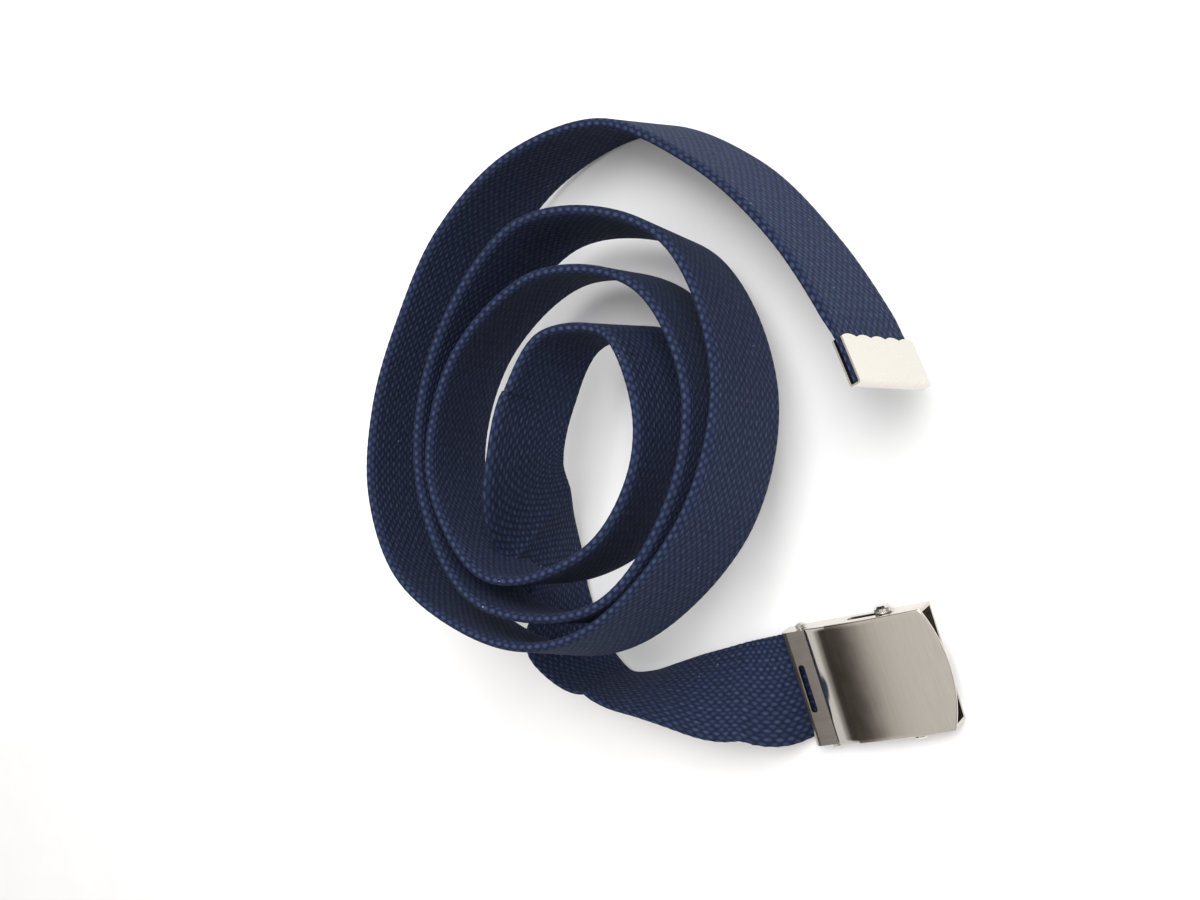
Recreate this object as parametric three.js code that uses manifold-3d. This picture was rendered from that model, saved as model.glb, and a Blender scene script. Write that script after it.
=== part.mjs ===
// Canvas web belt with a box slide buckle, in millimetres, +Z up.
// The belt is coiled on its edge. The coil's inner end drops under its lower turns, twists flat and
// runs to the buckle, so the coil leans on its own end.
import * as THREE from 'three';
import { mergeVertices } from 'three/addons/utils/BufferGeometryUtils.js';
import Module from 'manifold-3d';

const wasm = await Module();
wasm.setup();

// Webbing
const BELT_WIDTH = 32;
const BELT_THICKNESS = 2.6;
const SELVEDGE_CHAMFER = 0.6;
const BELT_STEPS = 300;

// Coil: its reach is from its middle to the top of the outer turn
const COIL_REACH = 87.5;
const LEAN_TOWARDS = 75.5;
// From the rim the coil rests on to the place where its end crosses under it, in reaches
const REST_SPAN_SHARE = 1.458;
const CROSSING_ROOM = 5;

// Buckle
const SHEET = 1;
const WALL_SHEET = 1;
const BELT_SIDE_ROOM = 0.4;
const FACE_OVERHANG = 0.3;
const FACE_LENGTH = 36;
const FACE_END_BULGE = 3.6;
const FACE_CORNER = 1;
const FACE_CROWN = 9.8;
const BAR_LENGTH = 8.4;
const BAR_TOP = 7.8;
const BAR_NOSE = 2.2;
const BAR_GAP = 0.5;
const BAR_SLOT_WIDTH = 2;
const BAR_SLOT_LENGTH = 14.6;
const BAR_SLOT_INSET = 2.6;
// The webbing lies flat from a little before the bar to its fixed end, past the face's start
const FLAT_BEFORE_BAR = 2.6;
const FIXED_END_REACH = 6;

// Locking roller and its slots
const ROLLER_RADIUS = 2.1;
const ROLLER_NECK_RADIUS = 1.1;
const ROLLER_HEAD_RADIUS = 2.5;
const ROLLER_HEAD_THICKNESS = 2;
const ROLLER_HEIGHT = 4.3;
const ROLLER_FROM_FACE_START = 23.6;
const ROLLER_TRAVEL = 10;

// Clamp plate that grips the fixed end
const CLAMP_PIN_RADIUS = 0.8;
const CLAMP_KNOB_RADIUS = 1.6;
const CLAMP_KNOB_THICKNESS = 1.4;
const CLAMP_BEFORE_FACE = 2.5;
const CLAMP_PLATE_LENGTH = 7.5;
const CLAMP_PLATE_THICKNESS = 0.8;
const CLAMP_TOOTH = 0.5;
const CLAMP_TEETH = 9;

// Belt tip: a sheet with a lobed edge, pressed round the end of the webbing
const TIP_LENGTH = 12.3;
const TIP_SHEET = 0.5;
const TIP_LOBES = 5;
const TIP_NOTCH = 0.7;
const PINCHED_THICKNESS = 1.4;
const PINCH_RAMP = 8;

// Clearances, and how far a cutting solid passes the metal that it cuts
const GAP = 0.3;
const TIP_GAP = 0.4;
const CUT_MARGIN = 1;

const NAVY = new THREE.MeshStandardMaterial({ color: 0x1c2447, roughness: 0.92, metalness: 0 });
const BRUSHED_NICKEL = new THREE.MeshStandardMaterial({ color: 0x9d968c, roughness: 0.34, metalness: 1 });
const PLAIN_NICKEL = new THREE.MeshStandardMaterial({ color: 0xb0aaa0, roughness: 0.22, metalness: 1 });
const STEEL = new THREE.MeshStandardMaterial({ color: 0x8f8c88, roughness: 0.3, metalness: 1 });
const PALE_NICKEL = new THREE.MeshStandardMaterial({ color: 0xd9d5cc, roughness: 0.2, metalness: 1 });

// Coil rows, from the free end inwards: turn in degrees about the coil's middle, reach of the floor-side
// rim as a share of the coil's reach, and how many degrees the top rim leans inwards.
const COIL_ROWS = [
  { turn: -8, reach: 1.045, lean: 12 },
  { turn: 0, reach: 1.008, lean: 12 },
  { turn: 22, reach: 0.955, lean: 12 },
  { turn: 45, reach: 0.982, lean: 15 },
  { turn: 68, reach: 1.019, lean: 12 },
  { turn: 90, reach: 0.929, lean: 4 },
  { turn: 112, reach: 0.812, lean: -2 },
  { turn: 135, reach: 0.731, lean: -3 },
  { turn: 158, reach: 0.744, lean: 0 },
  { turn: 180, reach: 0.774, lean: 1 },
  { turn: 202, reach: 0.778, lean: 1 },
  { turn: 225, reach: 0.74, lean: 3 },
  { turn: 247, reach: 0.71, lean: 4 },
  { turn: 270, reach: 0.645, lean: 4 },
  { turn: 315, reach: 0.566, lean: 7 },
  { turn: 360, reach: 0.579, lean: 4 },
  { turn: 405, reach: 0.659, lean: 0 },
  { turn: 450, reach: 0.679, lean: 0 },
  { turn: 495, reach: 0.588, lean: 3 },
  { turn: 540, reach: 0.6, lean: 6 },
  { turn: 585, reach: 0.631, lean: 2 },
  { turn: 630, reach: 0.569, lean: 0 },
  { turn: 675, reach: 0.468, lean: 1 },
  { turn: 720, reach: 0.447, lean: -1 },
  { turn: 765, reach: 0.512, lean: 3 },
  { turn: 810, reach: 0.548, lean: 9 },
  { turn: 855, reach: 0.538, lean: 9 },
  { turn: 900, reach: 0.56, lean: 7 },
  { turn: 945, reach: 0.529, lean: -1 },
  { turn: 990, reach: 0.382, lean: -3 },
  { turn: 1035, reach: 0.296, lean: -2 },
  { turn: 1080, reach: 0.315, lean: 6 },
  { turn: 1125, reach: 0.377, lean: 9 },
  { turn: 1170, reach: 0.315, lean: 3 },
  { turn: 1215, reach: 0.215, lean: -2 },
  { turn: 1260, reach: 0.229, lean: -4 },
];

// Run-out rows, from the coil's inner end to the buckle: place of the floor-side rim from the coil's
// middle in shares of the coil's reach, its rise in shares of the belt's width, and the lean as above.
const RUN_OUT_ROWS = [
  { along: -0.307, aside: -0.11, rise: 0.62, lean: 1 },
  { along: -0.406, aside: -0.215, rise: 0.345, lean: 8 },
  { along: -0.487, aside: -0.348, rise: 0.115, lean: 4 },
  { along: -0.528, aside: -0.473, rise: 0.065, lean: 0 },
  { along: -0.534, aside: -0.593, rise: 0.06, lean: -10 },
  { along: -0.531, aside: -0.679, rise: 0.055, lean: -5 },
  { along: -0.514, aside: -0.759, rise: 0.055, lean: 3 },
  { along: -0.468, aside: -0.834, rise: 0.055, lean: 11 },
  { along: -0.37, aside: -0.852, rise: 0.055, lean: 3 },
  { along: -0.25, aside: -0.841, rise: 0.055, lean: -10 },
  { along: -0.142, aside: -0.829, rise: 0.055, lean: -26 },
  { along: -0.043, aside: -0.822, rise: 0.06, lean: -40 },
  { along: 0.046, aside: -0.817, rise: 0.065, lean: -47 },
  { along: 0.105, aside: -0.814, rise: 0.08, lean: -68 },
];
// Where the buckle's face plate starts on its middle line, and the buckle's turn from +X in degrees
const FACE_ALONG_SHARE = 0.289;
const FACE_ASIDE_SHARE = -1.003;
const BUCKLE_TURN = -2.5;

// Face plate's side outline: share of its length, and share of its crown height
const FACE_ROWS = [
  { along: 0, rise: 0.81 },
  { along: 0.2, rise: 0.955 },
  { along: 0.5, rise: 1 },
  { along: 0.82, rise: 0.965 },
  { along: 1, rise: 0.9 },
];

function closed(geometry) {
  geometry.deleteAttribute('normal');
  geometry.deleteAttribute('uv');
  return mergeVertices(geometry, 1e-4);
}

function toSolid(geometry) {
  const mesh = closed(geometry);
  return new wasm.Manifold(new wasm.Mesh({
    numProp: 3,
    vertProperties: new Float32Array(mesh.attributes.position.array),
    triVerts: new Uint32Array(mesh.index.array),
  }));
}

function toGeometry(solid) {
  const mesh = solid.getMesh();
  const geometry = new THREE.BufferGeometry();
  geometry.setAttribute('position', new THREE.BufferAttribute(new Float32Array(mesh.vertProperties), 3));
  geometry.setIndex(new THREE.BufferAttribute(new Uint32Array(mesh.triVerts), 1));
  return geometry;
}

function box(sizeX, sizeY, sizeZ, x, y, z) {
  return new THREE.BoxGeometry(sizeX, sizeY, sizeZ).translate(x, y, z);
}

// A rod along Y, between two lengths measured from the buckle's middle line
function rodAcross(radius, from, to, x, z, sides) {
  const rod = new THREE.CylinderGeometry(radius, radius, to - from, sides);
  return rod.translate(0, (from + to) / 2, 0).translate(x, 0, z);
}

// A side outline drawn in XZ, extruded across the buckle and centred on its middle line
function extrudeAcross(shape, width) {
  const geometry = new THREE.ExtrudeGeometry(shape, { depth: width, bevelEnabled: false, curveSegments: 6 });
  return geometry.rotateX(Math.PI / 2).translate(0, width / 2, 0);
}

// Route of the webbing
const UP = new THREE.Vector3(0, 0, 1);
const coilLean = Math.asin((BELT_WIDTH + CROSSING_ROOM) / (REST_SPAN_SHARE * COIL_REACH));
const leanAzimuth = THREE.MathUtils.degToRad(LEAN_TOWARDS);
const coilAxis = new THREE.Vector3(
  Math.sin(coilLean) * Math.cos(leanAzimuth),
  Math.sin(coilLean) * Math.sin(leanAzimuth),
  Math.cos(coilLean),
);
const coilTurn = new THREE.Quaternion().setFromUnitVectors(UP, coilAxis);
const flatHeight = SHEET + GAP + BELT_THICKNESS / 2;

function coilStation(row) {
  const turn = THREE.MathUtils.degToRad(row.turn);
  const reach = row.reach * COIL_REACH;
  const place = new THREE.Vector3(reach * Math.cos(turn), reach * Math.sin(turn), 0);
  return { place: place.applyQuaternion(coilTurn), up: coilAxis, lean: row.lean };
}

function runOutStation(row) {
  const place = new THREE.Vector3(row.along * COIL_REACH, row.aside * COIL_REACH, row.rise * BELT_WIDTH);
  return { place, up: UP, lean: row.lean };
}

// In the buckle, x is from the start of its face plate, y from its middle line and z from the floor
const faceStart = new THREE.Vector3(FACE_ALONG_SHARE * COIL_REACH, FACE_ASIDE_SHARE * COIL_REACH, 0);
const buckleTurn = THREE.MathUtils.degToRad(BUCKLE_TURN);

function flatStation(x) {
  const place = new THREE.Vector3(x, BELT_WIDTH / 2, flatHeight);
  place.applyAxisAngle(UP, buckleTurn).add(faceStart);
  return { place, up: UP, lean: -90 };
}

const coilStations = COIL_ROWS.map(coilStation);
const coilRim = new THREE.CatmullRomCurve3(coilStations.map((station) => station.place)).getPoints(600);
const lowestRim = Math.min(...coilRim.map((point) => point.z));
const cornerDrop = (BELT_THICKNESS / 2 - SELVEDGE_CHAMFER) * Math.sin(coilLean);
coilStations.forEach((station) => {
  station.place.z += cornerDrop - lowestRim;
});
const stations = [
  ...coilStations,
  ...RUN_OUT_ROWS.map(runOutStation),
  flatStation(-BAR_LENGTH - FLAT_BEFORE_BAR),
  flatStation(-BAR_LENGTH),
  flatStation(FIXED_END_REACH),
];
const rimPath = new THREE.CatmullRomCurve3(stations.map((station) => station.place));
rimPath.arcLengthDivisions = 1500;
const upPath = new THREE.CatmullRomCurve3(stations.map((station) => station.up), false, 'catmullrom', 0.5);
const leanPath = new THREE.CatmullRomCurve3(
  stations.map((station) => new THREE.Vector3(station.lean, 0, 0)), false, 'catmullrom', 0.5);

// The webbing at a share of its length: rim point, and directions along, across and out of its outer face
function webbingAt(share) {
  const t = rimPath.getUtoTmapping(share);
  const rim = rimPath.getPoint(t);
  const along = rimPath.getTangent(t);
  const outward = new THREE.Vector3().crossVectors(along, upPath.getPoint(t)).normalize();
  const upright = new THREE.Vector3().crossVectors(outward, along);
  const lean = THREE.MathUtils.degToRad(leanPath.getPoint(t).x);
  const across = upright.multiplyScalar(Math.cos(lean)).addScaledVector(outward, -Math.sin(lean));
  return { rim, along, across, facing: new THREE.Vector3().crossVectors(along, across) };
}

function webbingSection() {
  const half = BELT_THICKNESS / 2;
  const inner = half - SELVEDGE_CHAMFER;
  const section = new THREE.Shape();
  section.moveTo(0, -inner);
  section.lineTo(SELVEDGE_CHAMFER, -half);
  section.lineTo(BELT_WIDTH - SELVEDGE_CHAMFER, -half);
  section.lineTo(BELT_WIDTH, -inner);
  section.lineTo(BELT_WIDTH, inner);
  section.lineTo(BELT_WIDTH - SELVEDGE_CHAMFER, half);
  section.lineTo(SELVEDGE_CHAMFER, half);
  section.lineTo(0, inner);
  section.closePath();
  return section;
}

// Share of its full thickness that the webbing has at a length from its free end
function pinchAt(length) {
  const ramp = THREE.MathUtils.smoothstep(length, TIP_LENGTH, TIP_LENGTH + PINCH_RAMP);
  return THREE.MathUtils.lerp(PINCHED_THICKNESS / BELT_THICKNESS, 1, ramp);
}

function webbing() {
  const straight = new THREE.ExtrudeGeometry(webbingSection(),
    { depth: 1, steps: BELT_STEPS, bevelEnabled: false });
  const geometry = closed(straight);
  const places = geometry.attributes.position;
  const point = new THREE.Vector3();
  for (let i = 0; i < places.count; i += 1) {
    point.fromBufferAttribute(places, i);
    const share = THREE.MathUtils.clamp(point.z, 0, 1);
    const at = webbingAt(share);
    const out = point.y * pinchAt(share * rimPath.getLength());
    at.rim.addScaledVector(at.across, point.x).addScaledVector(at.facing, out);
    places.setXYZ(i, at.rim.x, at.rim.y, at.rim.z);
  }
  return new THREE.Mesh(geometry, NAVY);
}

// Buckle pieces, in the buckle's own lengths
const insideWidth = BELT_WIDTH + 2 * BELT_SIDE_ROOM;
const frameWidth = insideWidth + 2 * WALL_SHEET;
const faceWidth = frameWidth + 2 * FACE_OVERHANG;

function faceCurve(drop) {
  const points = FACE_ROWS.map((row) => new THREE.Vector2(row.along * FACE_LENGTH,
    row.rise * FACE_CROWN - drop));
  return new THREE.SplineCurve(points).getPoints(12);
}

function facePlate() {
  const reach = FACE_LENGTH + FACE_END_BULGE;
  const top = faceCurve(0);
  const last = top[top.length - 1];
  const before = top[top.length - 2];
  const slope = (last.y - before.y) / (last.x - before.x);
  top.push(new THREE.Vector2(reach, last.y + slope * FACE_END_BULGE));
  const under = top.map((point) => new THREE.Vector2(point.x, point.y - SHEET)).reverse();
  const plate = toSolid(extrudeAcross(new THREE.Shape([...top, ...under]), faceWidth));
  const half = faceWidth / 2;
  const plan = new THREE.Shape();
  plan.moveTo(FACE_CORNER, -half);
  plan.lineTo(FACE_LENGTH - FACE_CORNER, -half);
  plan.quadraticCurveTo(FACE_LENGTH, -half, FACE_LENGTH, -half + FACE_CORNER);
  plan.quadraticCurveTo(FACE_LENGTH + 2 * FACE_END_BULGE, 0, FACE_LENGTH, half - FACE_CORNER);
  plan.quadraticCurveTo(FACE_LENGTH, half, FACE_LENGTH - FACE_CORNER, half);
  plan.lineTo(FACE_CORNER, half);
  plan.lineTo(0, half - FACE_CORNER);
  plan.lineTo(0, -half + FACE_CORNER);
  plan.closePath();
  const outline = new THREE.ExtrudeGeometry(plan,
    { depth: 2 * FACE_CROWN, bevelEnabled: false, curveSegments: 8 });
  return new THREE.Mesh(toGeometry(plate.intersect(toSolid(outline))), BRUSHED_NICKEL);
}

const rollerSlotEnd = ROLLER_FROM_FACE_START + ROLLER_NECK_RADIUS + GAP;
const rollerSlotStart = rollerSlotEnd - 2 * (ROLLER_NECK_RADIUS + GAP) - ROLLER_TRAVEL;
const clampPinHeight = flatHeight + BELT_THICKNESS / 2 + GAP + CLAMP_PIN_RADIUS;

function buckleFrame() {
  const side = new THREE.Shape();
  const wallTop = faceCurve(SHEET + GAP);
  side.moveTo(-BAR_LENGTH, 0);
  side.lineTo(-BAR_LENGTH, BAR_TOP - BAR_NOSE);
  side.quadraticCurveTo(-BAR_LENGTH, BAR_TOP, -BAR_LENGTH + BAR_NOSE, BAR_TOP);
  side.lineTo(-BAR_GAP, BAR_TOP);
  side.lineTo(-BAR_GAP, wallTop[0].y);
  wallTop.forEach((point) => side.lineTo(point.x, point.y));
  side.lineTo(FACE_LENGTH, 0);
  side.closePath();
  const block = toSolid(extrudeAcross(side, frameWidth));

  const tall = 2 * FACE_CROWN;
  const long = FACE_LENGTH + BAR_LENGTH + 2 * CUT_MARGIN;
  const middle = (FACE_LENGTH - BAR_LENGTH) / 2;
  const passageTop = BAR_TOP - WALL_SHEET;
  const passage = toSolid(box(long, insideWidth, passageTop - SHEET, middle, 0, (passageTop + SHEET) / 2));
  const bayLength = FACE_LENGTH + BAR_GAP + CUT_MARGIN;
  const faceBay = toSolid(box(bayLength, insideWidth, tall, bayLength / 2 - BAR_GAP, 0, SHEET + tall / 2));
  const barSlotX = -BAR_LENGTH + BAR_SLOT_INSET + BAR_SLOT_WIDTH / 2;
  const slotHalf = BAR_SLOT_LENGTH / 2;
  const slotRadius = BAR_SLOT_WIDTH / 2;
  const slotOutline = new THREE.Shape();
  slotOutline.moveTo(-slotRadius, -slotHalf + slotRadius);
  slotOutline.absarc(0, -slotHalf + slotRadius, slotRadius, Math.PI, 0, false);
  slotOutline.absarc(0, slotHalf - slotRadius, slotRadius, 0, Math.PI, false);
  slotOutline.closePath();
  const barSlot = toSolid(new THREE.ExtrudeGeometry(slotOutline,
    { depth: tall, bevelEnabled: false, curveSegments: 6 }).translate(barSlotX, 0, passageTop - CUT_MARGIN));

  const slotEndRadius = ROLLER_NECK_RADIUS + GAP;
  const pastWall = frameWidth / 2 + CUT_MARGIN;
  const rollerSlot = toSolid(box(ROLLER_TRAVEL, 2 * pastWall, 2 * slotEndRadius,
    (rollerSlotStart + rollerSlotEnd) / 2, 0, ROLLER_HEIGHT));
  const slotEnds = [rollerSlotStart + slotEndRadius, rollerSlotEnd - slotEndRadius].map((x) => toSolid(
    rodAcross(slotEndRadius, -pastWall, pastWall, x, ROLLER_HEIGHT, 12)));
  const pinHole = toSolid(rodAcross(CLAMP_PIN_RADIUS + GAP, -pastWall, pastWall,
    -CLAMP_BEFORE_FACE, clampPinHeight, 12));

  const cuts = [passage, faceBay, barSlot, rollerSlot, ...slotEnds, pinHole];
  const frame = cuts.reduce((solid, cut) => solid.subtract(cut), block);
  return new THREE.Mesh(toGeometry(frame), PLAIN_NICKEL);
}

function buckleRoller() {
  const headEnd = frameWidth / 2 + GAP + ROLLER_HEAD_THICKNESS;
  const headStart = frameWidth / 2 + GAP;
  const bodyEnd = insideWidth / 2 - GAP;
  const dome = ROLLER_HEAD_THICKNESS / 3;
  const half = [
    new THREE.Vector2(ROLLER_RADIUS, bodyEnd),
    new THREE.Vector2(ROLLER_NECK_RADIUS, bodyEnd),
    new THREE.Vector2(ROLLER_NECK_RADIUS, headStart),
    new THREE.Vector2(ROLLER_HEAD_RADIUS, headStart),
    new THREE.Vector2(ROLLER_HEAD_RADIUS, headEnd - dome),
    new THREE.Vector2(ROLLER_HEAD_RADIUS - dome, headEnd),
    new THREE.Vector2(0, headEnd),
  ];
  const mirrored = half.map((point) => new THREE.Vector2(point.x, -point.y)).reverse();
  const roller = new THREE.LatheGeometry([...mirrored, ...half], 16);
  return new THREE.Mesh(closed(roller), STEEL);
}

function clampPlate() {
  const headStart = frameWidth / 2 + GAP;
  const headEnd = headStart + CLAMP_KNOB_THICKNESS;
  const half = [
    new THREE.Vector2(CLAMP_PIN_RADIUS, headStart),
    new THREE.Vector2(CLAMP_KNOB_RADIUS, headStart),
    new THREE.Vector2(CLAMP_KNOB_RADIUS, headEnd - CLAMP_KNOB_THICKNESS / 3),
    new THREE.Vector2(CLAMP_PIN_RADIUS, headEnd),
    new THREE.Vector2(0, headEnd),
  ];
  const mirrored = half.map((point) => new THREE.Vector2(point.x, -point.y)).reverse();
  const pin = toSolid(new THREE.LatheGeometry([...mirrored, ...half], 12));
  const plateWidth = insideWidth - 4 * GAP;
  const plateMiddle = CLAMP_PLATE_LENGTH / 2;
  const plateUnder = CLAMP_TOOTH - CLAMP_PIN_RADIUS;
  const plate = toSolid(box(CLAMP_PLATE_LENGTH, plateWidth, CLAMP_PLATE_THICKNESS,
    plateMiddle, 0, plateUnder + CLAMP_PLATE_THICKNESS / 2));
  const toothStep = plateWidth / CLAMP_TEETH;
  const tooth = new THREE.Shape();
  const intoPlate = CLAMP_PLATE_THICKNESS / 4;
  tooth.moveTo(-toothStep / 2, intoPlate);
  tooth.lineTo(0, -CLAMP_TOOTH);
  tooth.lineTo(toothStep / 2, intoPlate);
  tooth.closePath();
  let clamp = pin.add(plate);
  for (let i = 0; i < CLAMP_TEETH; i += 1) {
    const row = new THREE.ExtrudeGeometry(tooth, { depth: CLAMP_PLATE_THICKNESS, bevelEnabled: false });
    row.rotateX(Math.PI / 2).rotateZ(Math.PI / 2);
    row.translate(CLAMP_PLATE_LENGTH - CLAMP_PLATE_THICKNESS, toothStep * (i + 0.5) - plateWidth / 2,
      plateUnder);
    clamp = clamp.add(toSolid(row));
  }
  return new THREE.Mesh(toGeometry(clamp), STEEL);
}

// The tip folds round the free end: x runs along the belt from its end, y across it, z out of its face
function beltTip() {
  const inner = PINCHED_THICKNESS / 2 + TIP_GAP;
  const outer = inner + TIP_SHEET;
  const section = new THREE.Shape();
  section.moveTo(TIP_LENGTH + CUT_MARGIN, inner);
  section.lineTo(0, inner);
  section.quadraticCurveTo(-TIP_GAP, inner, -TIP_GAP, inner - TIP_GAP);
  section.lineTo(-TIP_GAP, -inner + TIP_GAP);
  section.quadraticCurveTo(-TIP_GAP, -inner, 0, -inner);
  section.lineTo(TIP_LENGTH + CUT_MARGIN, -inner);
  section.lineTo(TIP_LENGTH + CUT_MARGIN, -outer);
  section.lineTo(0, -outer);
  section.quadraticCurveTo(-TIP_GAP - TIP_SHEET, -outer, -TIP_GAP - TIP_SHEET, -inner + TIP_GAP);
  section.lineTo(-TIP_GAP - TIP_SHEET, inner - TIP_GAP);
  section.quadraticCurveTo(-TIP_GAP - TIP_SHEET, outer, 0, outer);
  section.lineTo(TIP_LENGTH + CUT_MARGIN, outer);
  section.closePath();
  const channel = toSolid(extrudeAcross(section, BELT_WIDTH).translate(0, BELT_WIDTH / 2, 0));

  const lobe = BELT_WIDTH / TIP_LOBES;
  const notchAt = TIP_LENGTH - TIP_NOTCH;
  const edge = new THREE.Shape();
  edge.moveTo(TIP_LENGTH + lobe, -lobe);
  edge.lineTo(notchAt, -lobe);
  edge.lineTo(notchAt, 0);
  for (let i = 0; i < TIP_LOBES; i += 1) {
    edge.quadraticCurveTo(TIP_LENGTH + TIP_NOTCH, (i + 0.5) * lobe, notchAt, (i + 1) * lobe);
  }
  edge.lineTo(notchAt, BELT_WIDTH + lobe);
  edge.lineTo(TIP_LENGTH + lobe, BELT_WIDTH + lobe);
  edge.closePath();
  const beyondLobes = toSolid(new THREE.ExtrudeGeometry(edge,
    { depth: 4 * outer, bevelEnabled: false, curveSegments: 6 }).translate(0, 0, -2 * outer));

  const middle = webbingAt(TIP_LENGTH / 2 / rimPath.getLength());
  const placing = new THREE.Matrix4().makeBasis(middle.along, middle.across, middle.facing);
  placing.setPosition(middle.rim.addScaledVector(middle.along, -TIP_LENGTH / 2));
  const tip = toGeometry(channel.subtract(beyondLobes)).applyMatrix4(placing);
  return new THREE.Mesh(tip, PALE_NICKEL);
}

const frame = buckleFrame();
const face = facePlate();
const roller = buckleRoller();
const clamp = clampPlate();
roller.geometry.translate(ROLLER_FROM_FACE_START, 0, ROLLER_HEIGHT);
clamp.geometry.translate(-CLAMP_BEFORE_FACE, 0, clampPinHeight);
[frame, face, roller, clamp].forEach((piece) => {
  piece.geometry.rotateZ(buckleTurn).translate(faceStart.x, faceStart.y, 0);
});

const pieces = {
  webbing: webbing(),
  belt_tip: beltTip(),
  buckle_frame: frame,
  buckle_face: face,
  buckle_roller: roller,
  buckle_clamp: clamp,
};

const belt = new THREE.Group();
const bounds = new THREE.Box3();
Object.entries(pieces).forEach(([name, piece]) => {
  piece.name = name;
  belt.add(piece);
  piece.geometry.computeBoundingBox();
  bounds.union(piece.geometry.boundingBox);
});
const middleOfPlan = bounds.getCenter(new THREE.Vector3());
belt.children.forEach((piece) => piece.geometry.translate(-middleOfPlan.x, -middleOfPlan.y, -bounds.min.z));

export default belt;
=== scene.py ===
"""Looks of the coiled canvas web belt: woven webbing, nickel slide buckle and folded tip."""
import math

import bpy
import numpy as np
from mathutils import Matrix, Vector


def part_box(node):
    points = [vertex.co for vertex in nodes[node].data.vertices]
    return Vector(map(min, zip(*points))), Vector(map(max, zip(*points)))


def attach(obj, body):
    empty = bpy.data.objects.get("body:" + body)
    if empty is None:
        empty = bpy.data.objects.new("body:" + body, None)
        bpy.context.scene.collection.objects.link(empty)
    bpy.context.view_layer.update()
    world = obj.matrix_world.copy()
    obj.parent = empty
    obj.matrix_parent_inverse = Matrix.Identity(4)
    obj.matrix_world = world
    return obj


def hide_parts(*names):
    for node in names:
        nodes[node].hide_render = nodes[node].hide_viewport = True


MM = 0.001

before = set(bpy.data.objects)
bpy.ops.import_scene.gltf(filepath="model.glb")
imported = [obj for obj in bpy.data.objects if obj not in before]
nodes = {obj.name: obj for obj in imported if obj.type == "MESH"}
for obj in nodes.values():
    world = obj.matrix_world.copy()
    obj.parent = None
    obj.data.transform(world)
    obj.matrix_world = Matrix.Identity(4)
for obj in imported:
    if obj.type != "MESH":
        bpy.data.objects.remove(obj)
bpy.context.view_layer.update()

# Sizes in millimetres, as in the part
BELT_WIDTH = 32
BELT_THICKNESS = 2.6
COIL_REACH = 87.5
LEAN_TOWARDS = 75.5
REST_SPAN_SHARE = 1.458
CROSSING_ROOM = 5
SELVEDGE_CHAMFER = 0.6
SHEET = 1
WALL_SHEET = 1
GAP = 0.3
BELT_SIDE_ROOM = 0.4
FACE_OVERHANG = 0.3
TIP_LENGTH = 12.3
PINCHED_THICKNESS = 1.4
PINCH_RAMP = 8
FRAME_WIDTH = BELT_WIDTH + 2 * (BELT_SIDE_ROOM + WALL_SHEET)
FACE_WIDTH = FRAME_WIDTH + 2 * FACE_OVERHANG
FACE_LENGTH = 36
FACE_END_BULGE = 3.6
FACE_CROWN = 9.8
BAR_LENGTH = 8.4
FLAT_BEFORE_BAR = 2.6
FIXED_END_REACH = 6
FACE_ALONG_SHARE = 0.289
FACE_ASIDE_SHARE = -1.003
BUCKLE_TURN = -2.5
FLAT_LEAN = -90

# Points that the coil's lowest rim and the route's length are measured at, the share of the route that
# its direction is taken over, and the shortest span that a curve divides by
COIL_SAMPLES = 601
ROUTE_SAMPLES = 6001
TANGENT_STEP = 1e-4
SHORTEST_SPAN = 1e-6

# Coil rows: turn in degrees, reach of the floor-side rim, lean of the top rim inwards in degrees
COIL_ROWS = [
    (-8, 1.045, 12), (0, 1.008, 12), (22, 0.955, 12), (45, 0.982, 15), (68, 1.019, 12), (90, 0.929, 4),
    (112, 0.812, -2), (135, 0.731, -3), (158, 0.744, 0), (180, 0.774, 1), (202, 0.778, 1),
    (225, 0.74, 3), (247, 0.71, 4), (270, 0.645, 4), (315, 0.566, 7), (360, 0.579, 4),
    (405, 0.659, 0), (450, 0.679, 0), (495, 0.588, 3), (540, 0.6, 6), (585, 0.631, 2),
    (630, 0.569, 0), (675, 0.468, 1), (720, 0.447, -1), (765, 0.512, 3), (810, 0.548, 9),
    (855, 0.538, 9), (900, 0.56, 7), (945, 0.529, -1), (990, 0.382, -3), (1035, 0.296, -2),
    (1080, 0.315, 6), (1125, 0.377, 9), (1170, 0.315, 3), (1215, 0.215, -2), (1260, 0.229, -4),
]
# Run-out rows: place along and aside in reaches, rise in belt widths, lean in degrees
RUN_OUT_ROWS = [
    (-0.307, -0.11, 0.62, 1), (-0.406, -0.215, 0.345, 8), (-0.487, -0.348, 0.115, 4),
    (-0.528, -0.473, 0.065, 0), (-0.534, -0.593, 0.06, -10), (-0.531, -0.679, 0.055, -5),
    (-0.514, -0.759, 0.055, 3), (-0.468, -0.834, 0.055, 11), (-0.37, -0.852, 0.055, 3),
    (-0.25, -0.841, 0.055, -10), (-0.142, -0.829, 0.055, -26), (-0.043, -0.822, 0.06, -40),
    (0.046, -0.817, 0.065, -47), (0.105, -0.814, 0.08, -68),
]


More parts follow.
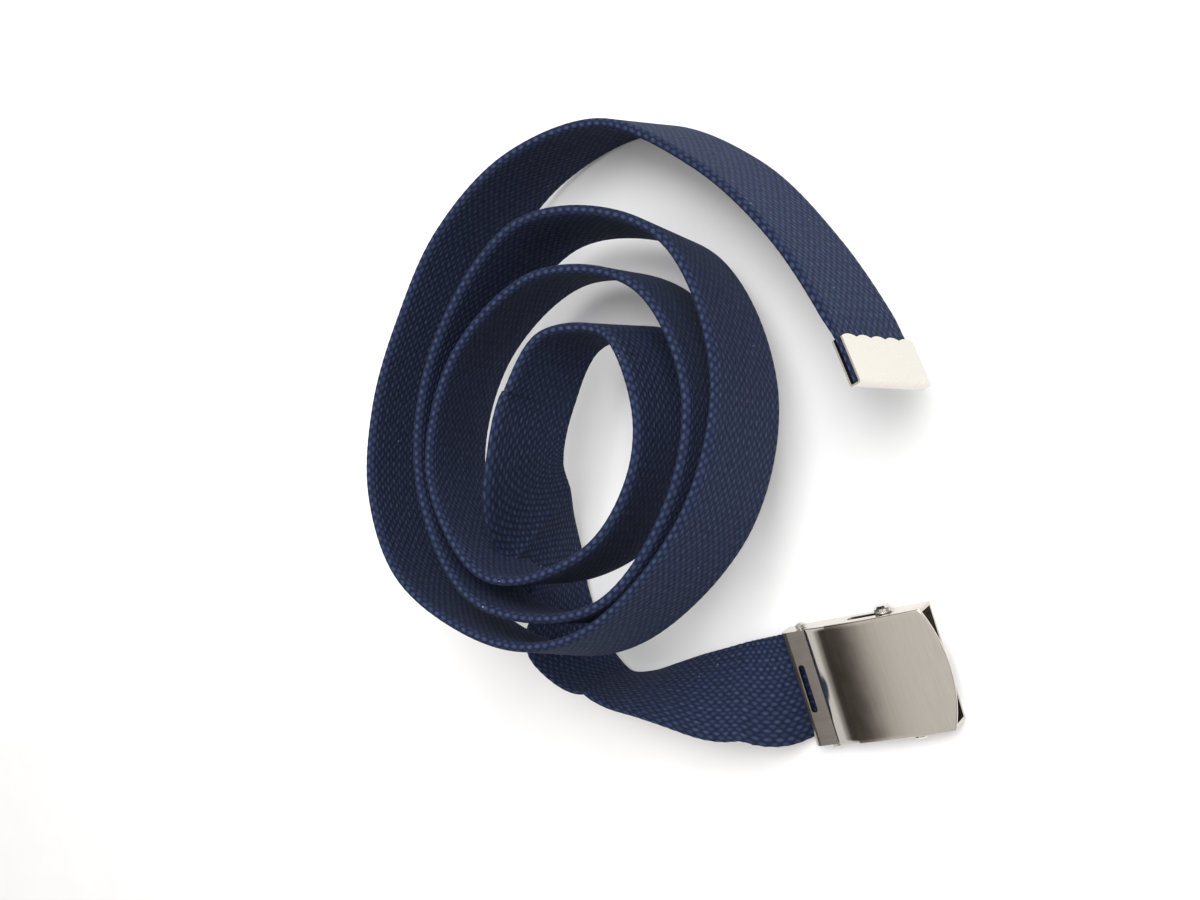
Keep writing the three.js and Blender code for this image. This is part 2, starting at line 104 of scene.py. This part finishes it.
def spline(rows, t, centripetal):
    """The Catmull-Rom curve through rows at the shares t, each row an equal share."""
    rows = np.asarray(rows, float)
    last = len(rows) - 1
    at = np.clip(t, 0, 1) * last
    index = np.minimum(at.astype(int), last - 1)
    w = (at - index)[:, None]
    padded = np.vstack([2 * rows[0] - rows[1], rows, 2 * rows[-1] - rows[-2]])
    p0, p1, p2, p3 = (padded[index + k] for k in range(4))
    if centripetal:
        d0, d1, d2 = (np.maximum(np.linalg.norm(b - a, axis=1), SHORTEST_SPAN)[:, None] ** 0.5
                      for a, b in ((p0, p1), (p1, p2), (p2, p3)))
        m1 = ((p1 - p0) / d0 - (p2 - p0) / (d0 + d1) + (p2 - p1) / d1) * d1
        m2 = ((p2 - p1) / d1 - (p3 - p1) / (d1 + d2) + (p3 - p2) / d2) * d1
    else:
        m1 = (p2 - p0) / 2
        m2 = (p3 - p1) / 2
    c2 = -3 * p1 + 3 * p2 - 2 * m1 - m2
    c3 = 2 * p1 - 2 * p2 + m1 + m2
    return p1 + m1 * w + c2 * w ** 2 + c3 * w ** 3


def unit(v):
    return v / np.linalg.norm(v, axis=1)[:, None]


# Route of the webbing, in millimetres from the coil's middle
coil_lean = math.asin((BELT_WIDTH + CROSSING_ROOM) / (REST_SPAN_SHARE * COIL_REACH))
lean_azimuth = math.radians(LEAN_TOWARDS)
coil_axis = Vector((math.sin(coil_lean) * math.cos(lean_azimuth),
                    math.sin(coil_lean) * math.sin(lean_azimuth), math.cos(coil_lean)))
coil_turn = Vector((0, 0, 1)).rotation_difference(coil_axis)
coil_places = []
for turn, reach in (row[:2] for row in COIL_ROWS):
    angle = math.radians(turn)
    flat = Vector((math.cos(angle), math.sin(angle), 0)) * reach * COIL_REACH
    coil_places.append(tuple(coil_turn @ flat))
coil_places = np.array(coil_places)
lowest_rim = spline(coil_places, np.linspace(0, 1, COIL_SAMPLES), True)[:, 2].min()
coil_places[:, 2] += (BELT_THICKNESS / 2 - SELVEDGE_CHAMFER) * math.sin(coil_lean) - lowest_rim

flat_height = SHEET + GAP + BELT_THICKNESS / 2
face_start = Vector((FACE_ALONG_SHARE * COIL_REACH, FACE_ASIDE_SHARE * COIL_REACH, 0))
buckle_turn = Matrix.Rotation(math.radians(BUCKLE_TURN), 3, "Z")


def in_buckle(x, y, z):
    """A place from the coil's middle, given along and aside from the face plate's start."""
    return face_start + buckle_turn @ Vector((x, y, z))


FLAT_STATIONS = (-BAR_LENGTH - FLAT_BEFORE_BAR, -BAR_LENGTH, FIXED_END_REACH)
route = [tuple(p) for p in coil_places]
route += [(along * COIL_REACH, aside * COIL_REACH, rise * BELT_WIDTH)
          for along, aside, rise in (row[:3] for row in RUN_OUT_ROWS)]
route += [tuple(in_buckle(x, BELT_WIDTH / 2, flat_height)) for x in FLAT_STATIONS]
after_coil = len(route) - len(COIL_ROWS)
ups = [tuple(coil_axis)] * len(COIL_ROWS) + [(0, 0, 1)] * after_coil
leans = [(row[-1],) for row in COIL_ROWS + RUN_OUT_ROWS] + [(FLAT_LEAN,)] * len(FLAT_STATIONS)

even = np.linspace(0, 1, ROUTE_SAMPLES)
steps = np.linalg.norm(np.diff(spline(route, even, True), axis=0), axis=1)
run = np.concatenate([[0], np.cumsum(steps)])
BELT_LENGTH = float(run[-1])

# The coil's middle in the scene, found from where the buckle's frame lies
buckle_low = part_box("buckle_frame")[0]
corners = [in_buckle(x, y, 0)
           for x in (-BAR_LENGTH, FACE_LENGTH) for y in (-FRAME_WIDTH / 2, FRAME_WIDTH / 2)]
middle = Vector((buckle_low.x / MM - min(corner.x for corner in corners),
                 buckle_low.y / MM - min(corner.y for corner in corners), 0))


def webbing_frame(places):
    """Rim points and unit directions along, across and out of the outer face, at lengths in mm."""
    t = np.interp(places, run, even)
    rim = spline(route, t, True)
    along = unit(spline(route, np.minimum(t + TANGENT_STEP, 1), True)
                 - spline(route, np.maximum(t - TANGENT_STEP, 0), True))
    up = spline(ups, t, False)
    outward = unit(np.cross(along, up))
    upright = np.cross(outward, along)
    lean = np.radians(spline(leans, t, False))
    across = upright * np.cos(lean) - outward * np.sin(lean)
    return rim + np.array(middle), along, across, np.cross(along, across)


def link(name, vertices, faces):
    mesh = bpy.data.meshes.new(name)
    mesh.from_pydata([tuple(v) for v in vertices], [], [tuple(f) for f in faces])
    mesh.update()
    piece = bpy.data.objects.new(name, mesh)
    bpy.context.scene.collection.objects.link(piece)
    return piece


def smooth(piece):
    piece.data.polygons.foreach_set("use_smooth", [True] * len(piece.data.polygons))


# Webbing with rounded selvedges that swell at each turn of the weft
WEFT_PITCH = 2.6
WARP_PITCH = 1.3
RIM_SWELL = 0.1
LONG_STEP = 0.8
FACE_COLUMNS = 16
RIM_COLUMNS = 6
RIM_ROUND = 1.1


def section():
    """Points round the section: across, out of the face, and how much of the rim's swell each takes."""
    half = BELT_THICKNESS / 2
    points = []
    for side in (1, -1):
        xs = np.linspace(RIM_ROUND, BELT_WIDTH - RIM_ROUND, FACE_COLUMNS)
        xs = xs if side > 0 else xs[::-1]
        points += [(x, side * half, 0.0) for x in xs]
        corner = BELT_WIDTH - RIM_ROUND if side > 0 else RIM_ROUND
        for k in range(1, RIM_COLUMNS):
            turn = math.pi * k / RIM_COLUMNS
            points.append((corner + side * RIM_ROUND * math.sin(turn), side * half * math.cos(turn),
                           math.sin(turn)))
    return np.array(points)


def make_webbing():
    ring = section()
    count = int(BELT_LENGTH / LONG_STEP)
    places = np.linspace(0, BELT_LENGTH, count)
    rim, along, across, facing = webbing_frame(places)
    strides = np.linalg.norm(np.diff(rim + across * BELT_WIDTH / 2, axis=0), axis=1)
    woven = np.concatenate([[0], np.cumsum(strides)])
    swell = RIM_SWELL * np.cos(2 * math.pi * woven / WEFT_PITCH)
    sign = np.where(ring[:, 0] > BELT_WIDTH / 2, 1, -1)
    x = ring[None, :, 0] + swell[:, None] * (ring[:, 2] * sign)[None, :]
    ramp_share = np.clip((places - TIP_LENGTH) / PINCH_RAMP, 0, 1)
    pinched = PINCHED_THICKNESS / BELT_THICKNESS
    thickness = pinched + (1 - pinched) * ramp_share ** 2 * (3 - 2 * ramp_share)
    y = ring[None, :, 1] * thickness[:, None]
    points = (rim[:, None] + x[..., None] * across[:, None] + y[..., None] * facing[:, None]) * MM
    around = len(ring)
    i = np.arange(count - 1)[:, None] * around
    j = np.arange(around)[None, :]
    k = (j + 1) % around
    quads = np.stack([i + j, i + k, i + around + k, i + around + j], -1).reshape(-1, 4)
    faces = [tuple(q) for q in quads]
    faces.append(tuple(range(around))[::-1])
    faces.append(tuple((count - 1) * around + n for n in range(around)))
    piece = link("belt_webbing", points.reshape(-1, 3), faces)
    girth = np.concatenate([[0], np.cumsum(np.linalg.norm(
        np.diff(np.vstack([ring, ring[:1]])[:, :2], axis=0), axis=1))])
    layer = piece.data.uv_layers.new(name="weave")
    u0 = np.repeat(woven[:-1], around)
    u1 = np.repeat(woven[1:], around)
    v0 = np.tile(girth[:-1], count - 1)
    v1 = np.tile(girth[1:], count - 1)
    uv = np.stack([u0, v0, u0, v1, u1, v1, u1, v0], -1).reshape(-1)
    caps = np.zeros(4 * around)
    layer.data.foreach_set("uv", np.concatenate([uv, caps]))
    smooth(piece)
    return piece


def new_material(name):
    material = bpy.data.materials.new(name)
    material.use_nodes = True
    tree = material.node_tree
    shader = next(n for n in tree.nodes if n.type == "BSDF_PRINCIPLED")
    return material, tree, shader


def math_node(tree, kind, first, second=None, third=None):
    node = tree.nodes.new("ShaderNodeMath")
    node.operation = kind
    for socket, value in zip(node.inputs, (first, second, third)):
        if value is None:
            continue
        if isinstance(value, (int, float)):
            socket.default_value = value
        else:
            tree.links.new(value, socket)
    return node.outputs[0]


def ramp(tree, factor, stops):
    node = tree.nodes.new("ShaderNodeValToRGB")
    tree.links.new(factor, node.inputs[0])
    elements = node.color_ramp.elements
    while len(elements) < len(stops):
        elements.new(0.5)
    for element, (place, colour) in zip(elements, stops):
        element.position = place
        element.color = (*colour, 1)
    return node.outputs[0]


def noise(tree, vector, scale, detail=2.0):
    node = tree.nodes.new("ShaderNodeTexNoise")
    node.inputs["Scale"].default_value = scale
    node.inputs["Detail"].default_value = detail
    tree.links.new(vector, node.inputs["Vector"])
    return node.outputs["Fac"]


# Canvas: noise scales are per millimetre of webbing, wobbles are in millimetres
WOBBLE_SCALE = 0.5
WOBBLE_ALONG = 0.5
WOBBLE_ACROSS = 0.25
ROUND_ACROSS = 3.4
ROUND_ALONG = 6.2
BUMP_POWER = 0.75
ODD_COLUMN_DROP = -0.6
FIBRE_SCALE = 5.5
FIBRE_RELIEF = 0.36
FIBRE_TONE = 0.3
PATCH_SCALE = 0.6
PATCH_TONE = 0.35
# Share of the tone that follows the bumps' height: painted shade in the weave's hollows and a painted
# highlight on its tops
WEAVE_PAINTED_SHADE = 0.36
CANVAS_TONES = [(0.16, (0.0042, 0.0064, 0.016)), (0.4, (0.0112, 0.0165, 0.042)),
                (0.62, (0.026, 0.038, 0.084)), (0.9, (0.064, 0.086, 0.152))]
LINT_SCALE = 0.9
LINT_FROM = 0.88
LINT_FULL = 0.9
LINT_COLOUR = (0.2, 0.22, 0.28, 1)
CANVAS_ROUGHNESS = 0.88
CANVAS_SPECULAR = 0.14
SHEEN = 0.03
SHEEN_ROUGHNESS = 0.5
SHEEN_TINT = (0.45, 0.55, 0.9, 1)
WEAVE_STRENGTH = 0.62
WEAVE_RELIEF = 0.45


def squared(tree, value, times):
    """The value's square, times a number."""
    return math_node(tree, "MULTIPLY", math_node(tree, "MULTIPLY", value, value), times)


def canvas():
    """Plain weave in the webbing's own lengths: every second warp column is lower and half a pitch on."""
    material, tree, shader = new_material("navy_canvas")
    uv = tree.nodes.new("ShaderNodeUVMap")
    uv.uv_map = "weave"
    split = tree.nodes.new("ShaderNodeSeparateXYZ")
    tree.links.new(uv.outputs[0], split.inputs[0])
    wobble = noise(tree, uv.outputs[0], WOBBLE_SCALE)
    u = math_node(tree, "MULTIPLY_ADD", wobble, WOBBLE_ALONG, split.outputs[0])
    v = math_node(tree, "MULTIPLY_ADD", wobble, WOBBLE_ACROSS, split.outputs[1])
    column = math_node(tree, "DIVIDE", v, WARP_PITCH)
    number = math_node(tree, "FLOOR", column)
    across = math_node(tree, "SUBTRACT", math_node(tree, "FRACT", column), 0.5)
    # Odd is a half in every second column and nothing in the others
    odd = math_node(tree, "FRACT", math_node(tree, "MULTIPLY", number, 0.5))
    length = math_node(tree, "ADD", math_node(tree, "DIVIDE", u, WEFT_PITCH), odd)
    along = math_node(tree, "SUBTRACT", math_node(tree, "FRACT", length), 0.5)
    round_across = squared(tree, across, ROUND_ACROSS)
    round_along = squared(tree, along, ROUND_ALONG)
    bump_height = math_node(tree, "SUBTRACT", 1.0, math_node(tree, "ADD", round_across, round_along))
    bump_height = math_node(tree, "MAXIMUM", bump_height, 0.0)
    bump_height = math_node(tree, "POWER", bump_height, BUMP_POWER)
    lower_column = math_node(tree, "MULTIPLY_ADD", odd, ODD_COLUMN_DROP, 1.0)
    bump_height = math_node(tree, "MULTIPLY", bump_height, lower_column)
    fibre = noise(tree, uv.outputs[0], FIBRE_SCALE, 3.0)
    patch = noise(tree, uv.outputs[0], PATCH_SCALE, 1.0)
    height = math_node(tree, "MULTIPLY_ADD", fibre, FIBRE_RELIEF, bump_height)
    # Painted shade: the weave's hollows are coloured darker and its bump tops lighter, by the bumps' height
    painted_weave_shade = math_node(tree, "MULTIPLY", bump_height, WEAVE_PAINTED_SHADE)
    fibre_tone_and_painted_shade = math_node(tree, "MULTIPLY_ADD", fibre, FIBRE_TONE, painted_weave_shade)
    tone = math_node(tree, "MULTIPLY_ADD", patch, PATCH_TONE, fibre_tone_and_painted_shade)
    colour = ramp(tree, tone, CANVAS_TONES)
    lint = noise(tree, uv.outputs[0], LINT_SCALE, 0.0)
    speck = tree.nodes.new("ShaderNodeMapRange")
    speck.inputs["From Min"].default_value = LINT_FROM
    speck.inputs["From Max"].default_value = LINT_FULL
    tree.links.new(lint, speck.inputs["Value"])
    mix = tree.nodes.new("ShaderNodeMix")
    mix.data_type = "RGBA"
    mix.inputs[7].default_value = LINT_COLOUR
    tree.links.new(speck.outputs[0], mix.inputs[0])
    tree.links.new(colour, mix.inputs[6])
    tree.links.new(mix.outputs[2], shader.inputs["Base Color"])
    shader.inputs["Roughness"].default_value = CANVAS_ROUGHNESS
    shader.inputs["Specular IOR Level"].default_value = CANVAS_SPECULAR
    shader.inputs["Sheen Weight"].default_value = SHEEN
    shader.inputs["Sheen Roughness"].default_value = SHEEN_ROUGHNESS
    shader.inputs["Sheen Tint"].default_value = SHEEN_TINT
    bump = tree.nodes.new("ShaderNodeBump")
    bump.inputs["Strength"].default_value = WEAVE_STRENGTH
    bump.inputs["Distance"].default_value = WEAVE_RELIEF * MM
    tree.links.new(height, bump.inputs["Height"])
    tree.links.new(bump.outputs[0], shader.inputs["Normal"])
    return material


# The brushed field's painted dark reflection is full up to the first length along the plate and gone at the
# second
PAINTED_REFLECTION_LENGTHS = (8.0, 19.0)
PAINTED_REFLECTION_TONE = (0.34, 0.31, 0.29)


def paint_dark_reflection(tree, tone, lengths):
    """The tone darkened near the plate's fold as a painted dark reflection, by the length along the plate
    that its UV layer holds.
    """
    uv = tree.nodes.new("ShaderNodeUVMap")
    uv.uv_map = "plate"
    split = tree.nodes.new("ShaderNodeSeparateXYZ")
    tree.links.new(uv.outputs[0], split.inputs[0])
    share = tree.nodes.new("ShaderNodeMapRange")
    share.interpolation_type = "SMOOTHSTEP"
    share.inputs["From Min"].default_value = lengths[0]
    share.inputs["From Max"].default_value = lengths[1]
    tree.links.new(split.outputs[0], share.inputs["Value"])
    shade = ramp(tree, share.outputs[0], [(0.0, PAINTED_REFLECTION_TONE), (1.0, (1.0, 1.0, 1.0))])
    mix = tree.nodes.new("ShaderNodeMix")
    mix.data_type = "RGBA"
    mix.blend_type = "MULTIPLY"
    mix.inputs[0].default_value = 1.0
    tree.links.new(tone, mix.inputs[6])
    tree.links.new(shade, mix.inputs[7])
    return mix.outputs[2]


# Metals: noise scales are per metre, the streaks' relief is in millimetres
STREAKS_ALONG = (40, 1500, 1500)
BRUSHED_ACROSS = (2600, 90, 2600)
STREAK_RELIEF = 0.01
BRUSHED_RELIEF = 0.004
WEAR_SCALE = 220.0
WEAR_SPREAD = 0.08
DARK_STREAK = 0.5
LIGHT_STREAK = 0.35
STREAKED_STRENGTH = 0.35
PLAIN_STRENGTH = 0.12


def metal(name, colour, roughness, streak=0.0, stretch=STREAKS_ALONG, relief=STREAK_RELIEF,
          painted_reflection_span=None):
    """Metal with fine streaks: noise drawn out one way, in roughness, tone and relief."""
    material, tree, shader = new_material(name)
    shader.inputs["Metallic"].default_value = 1.0
    place = tree.nodes.new("ShaderNodeTexCoord")
    mapping = tree.nodes.new("ShaderNodeMapping")
    mapping.inputs["Scale"].default_value = stretch
    tree.links.new(place.outputs["Object"], mapping.inputs["Vector"])
    grain = noise(tree, mapping.outputs[0], 1.0, 4.0)
    wear = noise(tree, place.outputs["Object"], WEAR_SCALE, 3.0)
    rough = math_node(tree, "MULTIPLY_ADD", grain, streak, roughness - streak / 2)
    rough = math_node(tree, "SUBTRACT", rough, WEAR_SPREAD / 2)
    rough = math_node(tree, "MULTIPLY_ADD", wear, WEAR_SPREAD, rough)
    tree.links.new(rough, shader.inputs["Roughness"])
    low = tuple(c * (1 - DARK_STREAK * streak) for c in colour)
    high = tuple(min(1, c * (1 + LIGHT_STREAK * streak)) for c in colour)
    tone = ramp(tree, grain, [(0.3, low), (0.7, high)])
    # A painted dark reflection near the plate's fold, where lengths for it are given
    if painted_reflection_span:
        tone = paint_dark_reflection(tree, tone, painted_reflection_span)
    tree.links.new(tone, shader.inputs["Base Color"])
    bump = tree.nodes.new("ShaderNodeBump")
    bump.inputs["Strength"].default_value = STREAKED_STRENGTH if streak else PLAIN_STRENGTH
    bump.inputs["Distance"].default_value = relief * MM
    tree.links.new(grain, bump.inputs["Height"])
    tree.links.new(bump.outputs[0], shader.inputs["Normal"])
    return material


def dress(node, material):
    for slot in nodes[node].material_slots:
        slot.material = material


webbing = make_webbing()
webbing.data.materials.append(canvas())
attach(webbing, "belt")
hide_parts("webbing")

# The brushed nickel carries a painted dark reflection near the plate's fold
BRUSHED = metal("brushed_nickel", (0.69, 0.645, 0.585), 0.24, streak=0.07, stretch=BRUSHED_ACROSS,
                relief=BRUSHED_RELIEF, painted_reflection_span=PAINTED_REFLECTION_LENGTHS)
POLISHED = metal("polished_nickel", (0.74, 0.71, 0.66), 0.09)
PLAIN = metal("plain_nickel", (0.58, 0.54, 0.495), 0.2, streak=0.05)
TIP = metal("pale_nickel", (0.655, 0.63, 0.575), 0.26, streak=0.04)
STEEL = metal("turned_steel", (0.70, 0.68, 0.64), 0.16, streak=0.08)

# Face plate: a polished first facet, a brushed crowned field and a softly rolled end. The two curves are
# the fall, in shares of the crown, for the squared millimetres from the top and past the roll's start.
PLATE_START = -0.4
FACE_FOLD = 6.8
FACE_ROLL_START = 31.5
FACE_TOP = 19.0
FIELD_CURVE = 0.00035
ROLL_CURVE = 0.0004
# The first facet's rise in shares of the crown, from the plate's start to its fold
FACET_ROWS = [(PLATE_START, 0.795), (2.2, 0.864), (4.5, 0.912), (FACE_FOLD, 0.948)]
EDGE_ROUND = 0.35
EDGE_SEGMENTS = 3
EDGE_ANGLE = 60
FACET_COLUMNS = 9
FIELD_COLUMNS = 40
PLATE_ROWS = 25


def face_height(x):
    if x < FACE_FOLD:
        xs, rises = zip(*FACET_ROWS)
        return float(np.interp(x, xs, rises)) * FACE_CROWN
    roll = max(0, x - FACE_ROLL_START)
    return (1 - FIELD_CURVE * (x - FACE_TOP) ** 2 - ROLL_CURVE * roll ** 2) * FACE_CROWN


def make_face():
    half = FACE_WIDTH / 2
    lengths = np.concatenate([np.linspace(PLATE_START, FACE_FOLD, FACET_COLUMNS)[:-1],
                              np.linspace(FACE_FOLD, FACE_LENGTH, FIELD_COLUMNS)])
    plan = []
    for y in np.linspace(-half, half, PLATE_ROWS):
        bulge = FACE_END_BULGE * (1 - (y / half) ** 2)
        for length in lengths:
            pull = max(0, (length - FACE_FOLD) / (FACE_LENGTH - FACE_FOLD))
            plan.append((length + bulge * pull, y))
    columns = len(lengths)
    faces = []
    for r in range(PLATE_ROWS - 1):
        for c in range(columns - 1):
            a = r * columns + c
            faces.append((a, a + 1, a + columns + 1, a + columns))
    placed = [(middle + in_buckle(x, y, face_height(x))) * MM for x, y in plan]
    piece = link("buckle_face_plate", placed, faces)
    piece.data.materials.append(BRUSHED)
    piece.data.materials.append(POLISHED)
    layer = piece.data.uv_layers.new(name="plate")
    for polygon in piece.data.polygons:
        polygon.use_smooth = True
        if polygon.index % (columns - 1) < FACET_COLUMNS - 1:
            polygon.material_index = 1
        for loop in polygon.loop_indices:
            layer.data[loop].uv = plan[piece.data.loops[loop].vertex_index]
    fold = {r * columns + FACET_COLUMNS - 1 for r in range(PLATE_ROWS)}
    for edge in piece.data.edges:
        edge.use_edge_sharp = set(edge.vertices) <= fold
    return piece


face = make_face()
solid = face.modifiers.new("sheet", "SOLIDIFY")
solid.thickness = SHEET * MM
solid.offset = -1
rounding = face.modifiers.new("edge", "BEVEL")
rounding.width = EDGE_ROUND * MM
rounding.segments = EDGE_SEGMENTS
rounding.limit_method = "ANGLE"
rounding.angle_limit = math.radians(EDGE_ANGLE)
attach(face, "belt")
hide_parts("buckle_face")

dress("buckle_frame", PLAIN)
dress("buckle_roller", STEEL)
dress("buckle_clamp", STEEL)
dress("belt_tip", TIP)

# Floor, light and camera, in metres and watts
FLOOR_HALF = 3
FLOOR_GRAIN_SCALE = 60.0
FLOOR_TONES = [(0.3, (0.88, 0.88, 0.88)), (0.7, (0.9, 0.9, 0.9))]
FLOOR_ROUGHNESS = 0.75
LIGHT_SIZE = (0.7, 0.7)
KEY_PLACE = (0.55, 0.5, 0.95)
KEY_POWER = 15
OVERHEAD_PLACE = (0.4, 0.3, 1.3)
OVERHEAD_POWER = 5

floor = link("floor", [(x * FLOOR_HALF, y * FLOOR_HALF, 0) for x, y in ((-1, -1), (1, -1), (1, 1), (-1, 1))],
             [(0, 1, 2, 3)])
floor_material, floor_tree, floor_shader = new_material("pale_floor")
floor_place = floor_tree.nodes.new("ShaderNodeTexCoord")
floor_grain = noise(floor_tree, floor_place.outputs["Object"], FLOOR_GRAIN_SCALE)
floor_tree.links.new(ramp(floor_tree, floor_grain, FLOOR_TONES), floor_shader.inputs["Base Color"])
floor_shader.inputs["Roughness"].default_value = FLOOR_ROUGHNESS
floor.data.materials.append(floor_material)


def area_light(name, place, power):
    """A white square light that faces the middle of the floor."""
    light = bpy.data.lights.new(name, "AREA")
    light.shape = "RECTANGLE"
    light.size, light.size_y = LIGHT_SIZE
    light.energy = power
    lamp = bpy.data.objects.new(name, light)
    lamp.location = place
    lamp.rotation_euler = (-Vector(place)).to_track_quat("-Z", "Y").to_euler()
    bpy.context.scene.collection.objects.link(lamp)


area_light("key", KEY_PLACE, KEY_POWER)
area_light("overhead", OVERHEAD_PLACE, OVERHEAD_POWER)
world = bpy.data.worlds.new("studio")
bpy.context.scene.world = world
world.use_nodes = True
background = next(n for n in world.node_tree.nodes if n.type == "BACKGROUND")
background.inputs["Strength"].default_value = 1.0

# A grey room that gets lighter towards one dark patch, which the buckle's metal reflects. The tones go
# by the cosine of the angle from the patch's middle.
DARK_TOWARDS = (-0.62, -0.22, 0.75)
ROOM_TONES = [(0.0, (0.38, 0.38, 0.38)), (0.968, (0.72, 0.70, 0.68)), (0.988, (0.06, 0.05, 0.045)),
              (1.0, (0.03, 0.026, 0.022))]
direction = world.node_tree.nodes.new("ShaderNodeTexCoord")
towards = world.node_tree.nodes.new("ShaderNodeVectorMath")
towards.operation = "DOT_PRODUCT"
towards.inputs[1].default_value = Vector(DARK_TOWARDS).normalized()
world.node_tree.links.new(direction.outputs["Generated"], towards.inputs[0])
room = ramp(world.node_tree, towards.outputs["Value"], ROOM_TONES)
world.node_tree.links.new(room, background.inputs["Color"])

# Camera at the photo's place: millimetres from the coil's middle, with its look and right directions
CAMERA_PLACE = (222.5, 7.0, 367.1)
CAMERA_LOOK = (-0.5588, -0.0212, -0.8290)
CAMERA_RIGHT = (0.7841, -0.3390, -0.5198)
CAMERA_LENS = 42.62
CAMERA_SENSOR = 36
NEAR_CLIP = 0.01
look = Vector(CAMERA_LOOK).normalized()
right = Vector(CAMERA_RIGHT)
right = (right - look * right.dot(look)).normalized()
upward = right.cross(look)
camera_data = bpy.data.cameras.new("camera")
camera_data.lens = CAMERA_LENS
camera_data.sensor_width = CAMERA_SENSOR
camera_data.clip_start = NEAR_CLIP
camera = bpy.data.objects.new("camera", camera_data)
camera.matrix_world = Matrix.Translation((Vector(CAMERA_PLACE) + middle) * MM) @ Matrix(
    (right, upward, -look)).transposed().to_4x4()
bpy.context.scene.collection.objects.link(camera)
bpy.context.scene.camera = camera
bpy.context.scene.view_settings.view_transform = "Standard"

bpy.context.view_layer.update()
